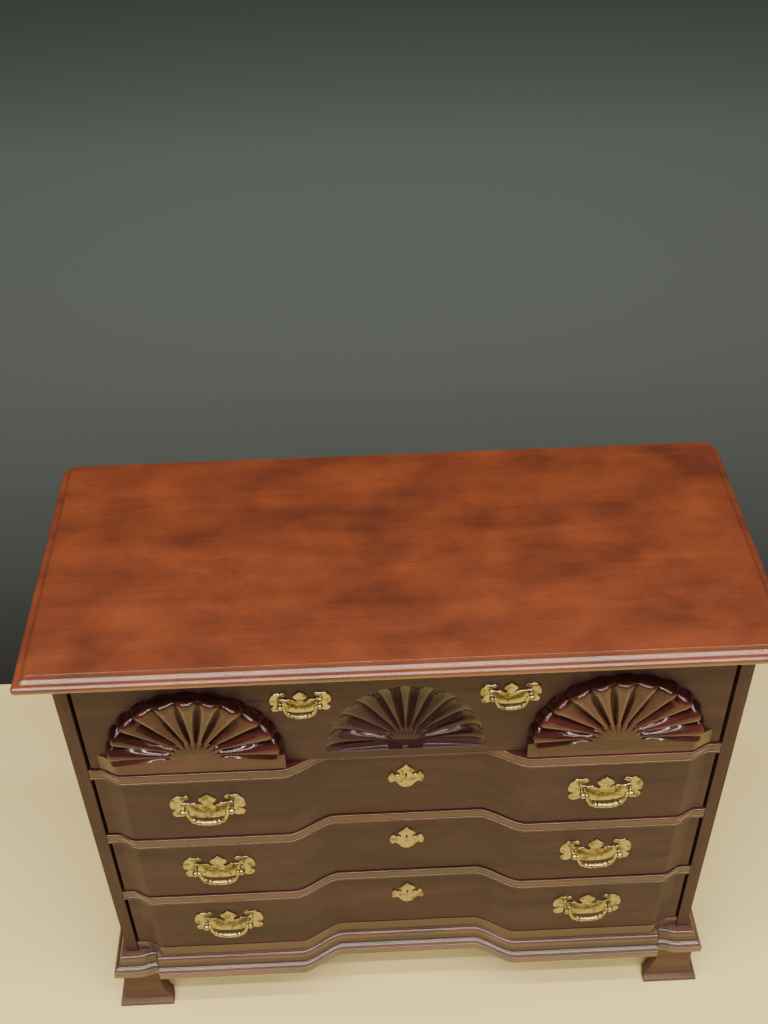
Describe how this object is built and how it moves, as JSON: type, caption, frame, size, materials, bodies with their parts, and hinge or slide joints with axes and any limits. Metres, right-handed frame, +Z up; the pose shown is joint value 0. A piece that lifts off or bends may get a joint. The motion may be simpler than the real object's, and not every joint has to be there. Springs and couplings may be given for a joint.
{
  "type": "chest of drawers",
  "caption": "Block front chest with carved shells across its upper drawer, graduated drawers below, bail pulls, moulded top and base, and bracket feet.",
  "frame": {"origin": "on the floor, under the middle of the top", "axes": "+X to the right seen from the front, -Y out of the front, +Z up"},
  "size_m": [1.016, 0.444, 0.846],
  "materials": {
    "mahogany_top": "gloss",
    "mahogany": "satin",
    "mahogany_rail": "satin",
    "mahogany_carved": "gloss",
    "poplar": "matte",
    "brass": "polished"
  },
  "bodies": {
    "case": {"top_board": "mahogany_top", "case_side_left": "mahogany", "case_side_right": "mahogany", "back_panel": "poplar", "top_rail": "mahogany_rail", "divider_upper": "mahogany_rail", "divider_middle": "mahogany_rail", "divider_lower": "mahogany_rail", "runner_frame_upper": "poplar", "runner_frame_middle": "poplar", "runner_frame_lower": "poplar", "bottom_board": "poplar", "base_front": "mahogany", "base_moulding_left": "mahogany", "base_moulding_right": "mahogany", "front_foot_left": "mahogany", "front_foot_right": "mahogany", "rear_foot_left": "mahogany", "rear_foot_right": "mahogany"},
    "drawer_1": {"drawer_1_front": "mahogany", "drawer_1_side_left": "poplar", "drawer_1_side_right": "poplar", "drawer_1_back": "poplar", "drawer_1_bottom": "poplar", "drawer_1_pull_plate_left": "brass", "drawer_1_pull_plate_right": "brass", "drawer_1_shell_left": "mahogany_carved", "drawer_1_shell_right": "mahogany_carved"},
    "drawer_1_bail_left_swing": {"drawer_1_bail_left": "brass"},
    "drawer_1_bail_right_swing": {"drawer_1_bail_right": "brass"},
    "drawer_2": {"drawer_2_front": "mahogany", "drawer_2_side_left": "poplar", "drawer_2_side_right": "poplar", "drawer_2_back": "poplar", "drawer_2_bottom": "poplar", "drawer_2_pull_plate_left": "brass", "drawer_2_pull_plate_right": "brass", "drawer_2_escutcheon": "brass"},
    "drawer_2_bail_left_swing": {"drawer_2_bail_left": "brass"},
    "drawer_2_bail_right_swing": {"drawer_2_bail_right": "brass"},
    "drawer_3": {"drawer_3_front": "mahogany", "drawer_3_side_left": "poplar", "drawer_3_side_right": "poplar", "drawer_3_back": "poplar", "drawer_3_bottom": "poplar", "drawer_3_pull_plate_left": "brass", "drawer_3_pull_plate_right": "brass", "drawer_3_escutcheon": "brass"},
    "drawer_3_bail_left_swing": {"drawer_3_bail_left": "brass"},
    "drawer_3_bail_right_swing": {"drawer_3_bail_right": "brass"},
    "drawer_4": {"drawer_4_front": "mahogany", "drawer_4_side_left": "poplar", "drawer_4_side_right": "poplar", "drawer_4_back": "poplar", "drawer_4_bottom": "poplar", "drawer_4_pull_plate_left": "brass", "drawer_4_pull_plate_right": "brass", "drawer_4_escutcheon": "brass"},
    "drawer_4_bail_left_swing": {"drawer_4_bail_left": "brass"},
    "drawer_4_bail_right_swing": {"drawer_4_bail_right": "brass"}
  },
  "joints": [
    {"name": "drawer_1_slide", "type": "slide", "parent": "case", "child": "drawer_1", "axis": [0, -1, 0], "range_m": [0, 0.3]},
    {"name": "drawer_1_bail_left_hinge", "type": "hinge", "parent": "drawer_1", "child": "drawer_1_bail_left_swing", "pos_m": [-0.14297, -0.192, 0.74721], "axis": [-1, 0, 0], "range_deg": [0, 170]},
    {"name": "drawer_1_bail_right_hinge", "type": "hinge", "parent": "drawer_1", "child": "drawer_1_bail_right_swing", "pos_m": [0.14297, -0.192, 0.74721], "axis": [-1, 0, 0], "range_deg": [0, 170]},
    {"name": "drawer_2_slide", "type": "slide", "parent": "case", "child": "drawer_2", "axis": [0, -1, 0], "range_m": [0, 0.3]},
    {"name": "drawer_2_bail_left_hinge", "type": "hinge", "parent": "drawer_2", "child": "drawer_2_bail_left_swing", "pos_m": [-0.28909, -0.207, 0.54271], "axis": [-1, 0, 0], "range_deg": [0, 170]},
    {"name": "drawer_2_bail_right_hinge", "type": "hinge", "parent": "drawer_2", "child": "drawer_2_bail_right_swing", "pos_m": [0.28909, -0.207, 0.54271], "axis": [-1, 0, 0], "range_deg": [0, 170]},
    {"name": "drawer_3_slide", "type": "slide", "parent": "case", "child": "drawer_3", "axis": [0, -1, 0], "range_m": [0, 0.3]},
    {"name": "drawer_3_bail_left_hinge", "type": "hinge", "parent": "drawer_3", "child": "drawer_3_bail_left_swing", "pos_m": [-0.28909, -0.207, 0.3879], "axis": [-1, 0, 0], "range_deg": [0, 170]},
    {"name": "drawer_3_bail_right_hinge", "type": "hinge", "parent": "drawer_3", "child": "drawer_3_bail_right_swing", "pos_m": [0.28909, -0.207, 0.3879], "axis": [-1, 0, 0], "range_deg": [0, 170]},
    {"name": "drawer_4_slide", "type": "slide", "parent": "case", "child": "drawer_4", "axis": [0, -1, 0], "range_m": [0, 0.3]},
    {"name": "drawer_4_bail_left_hinge", "type": "hinge", "parent": "drawer_4", "child": "drawer_4_bail_left_swing", "pos_m": [-0.28909, -0.207, 0.23566], "axis": [-1, 0, 0], "range_deg": [0, 170]},
    {"name": "drawer_4_bail_right_hinge", "type": "hinge", "parent": "drawer_4", "child": "drawer_4_bail_right_swing", "pos_m": [0.28909, -0.207, 0.23566], "axis": [-1, 0, 0], "range_deg": [0, 170]}
  ]
}
